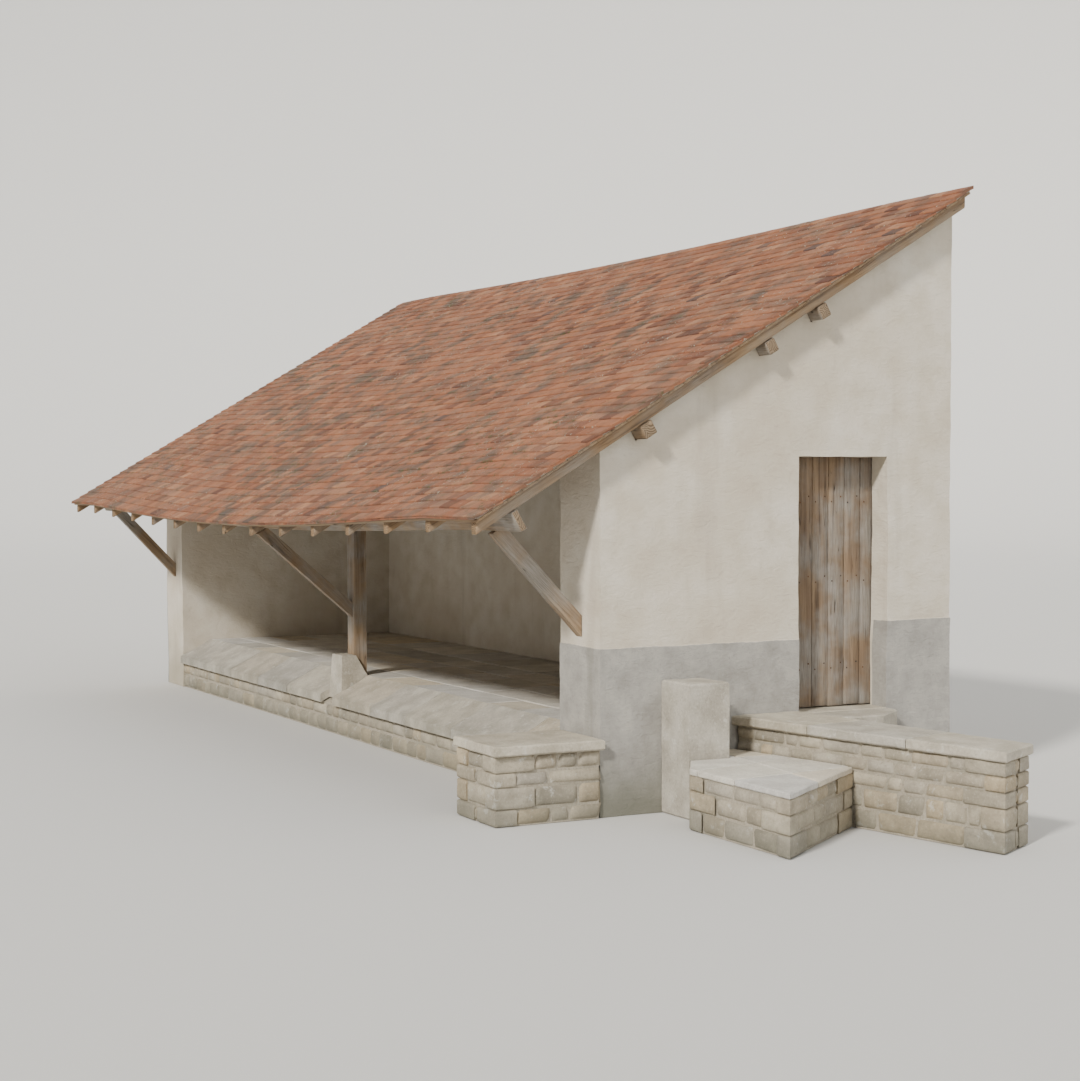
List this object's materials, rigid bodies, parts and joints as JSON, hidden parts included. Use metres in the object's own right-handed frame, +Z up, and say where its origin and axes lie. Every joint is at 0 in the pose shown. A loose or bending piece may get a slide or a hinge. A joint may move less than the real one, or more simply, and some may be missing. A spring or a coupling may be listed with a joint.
{
  "type": "wash house",
  "caption": "Open-fronted wash house with one long roof slope, masonry gables, a middle post, inclined washing stones, a plank door and low stepped outer walls.",
  "frame": {"origin": "on the lowest ground, under the middle of the rectangle of the outer walls", "axes": "+Z up, +X along the open front towards the gable with the door, +Y from the open front to the back wall"},
  "size_m": [13.12, 4.18, 4.5925],
  "materials": {
    "wall_render": "hand-worked lime render over rubble masonry, matt",
    "foundation_masonry": "rubble masonry in lime mortar, matt",
    "paving_stone": "worn stone paving, matt",
    "washing_stone": "dressed stone worn smooth, satin",
    "dressed_stone": "dressed limestone, weathered, matt",
    "rubble_stone": "coursed rubble with lime joints, matt",
    "oak": "weathered hewn oak, matt",
    "rafter_wood": "sawn and weathered, matt",
    "roof_boarding": "sawn boards, weathered, matt",
    "clay_tile": "old plain clay tiles, matt",
    "door_wood": "weathered planks, matt",
    "door_iron": "forged iron, lightly rusted"
  },
  "bodies": {
    "building": {"near_gable_front": "wall_render", "near_gable_rear": "wall_render", "near_gable_over_door": "wall_render", "near_gable_under_door": "wall_render", "far_gable_wall": "wall_render", "back_wall": "wall_render", "floor_base": "foundation_masonry", "front_wall": "foundation_masonry", "floor_paving": "paving_stone", "washing_stones_near": "washing_stone", "washing_stones_far": "washing_stone", "door_sill": "dressed_stone", "corner_slab": "dressed_stone", "post_base": "dressed_stone", "threshold": "dressed_stone", "wing_coping": "dressed_stone", "stone_pillar": "dressed_stone", "corner_wall": "rubble_stone", "wing_wall": "rubble_stone", "lower_step": "rubble_stone", "door_lintel": "oak", "middle_post": "oak", "brace_near": "oak", "brace_middle": "oak", "brace_far": "oak", "eave_beam": "oak", "wall_plate": "oak", "purlin_lower": "oak", "purlin_upper": "oak", "top_plate": "oak", "verge_rafter_near": "rafter_wood", "verge_rafter_far": "rafter_wood", "common_rafters": "rafter_wood", "roof_boards": "roof_boarding", "roof_tiles": "clay_tile", "door_pintles": "door_iron"},
    "door_leaf": {"door_boards": "door_wood", "door_ledges": "door_wood", "door_hinges": "door_iron", "door_latch": "door_iron"}
  },
  "joints": [
    {"name": "door_hinge", "type": "hinge", "parent": "building", "child": "door_leaf", "pos_m": [4.982, 0.975, 0.94], "axis": [0, 0, -1], "range_deg": [0, 90]}
  ]
}
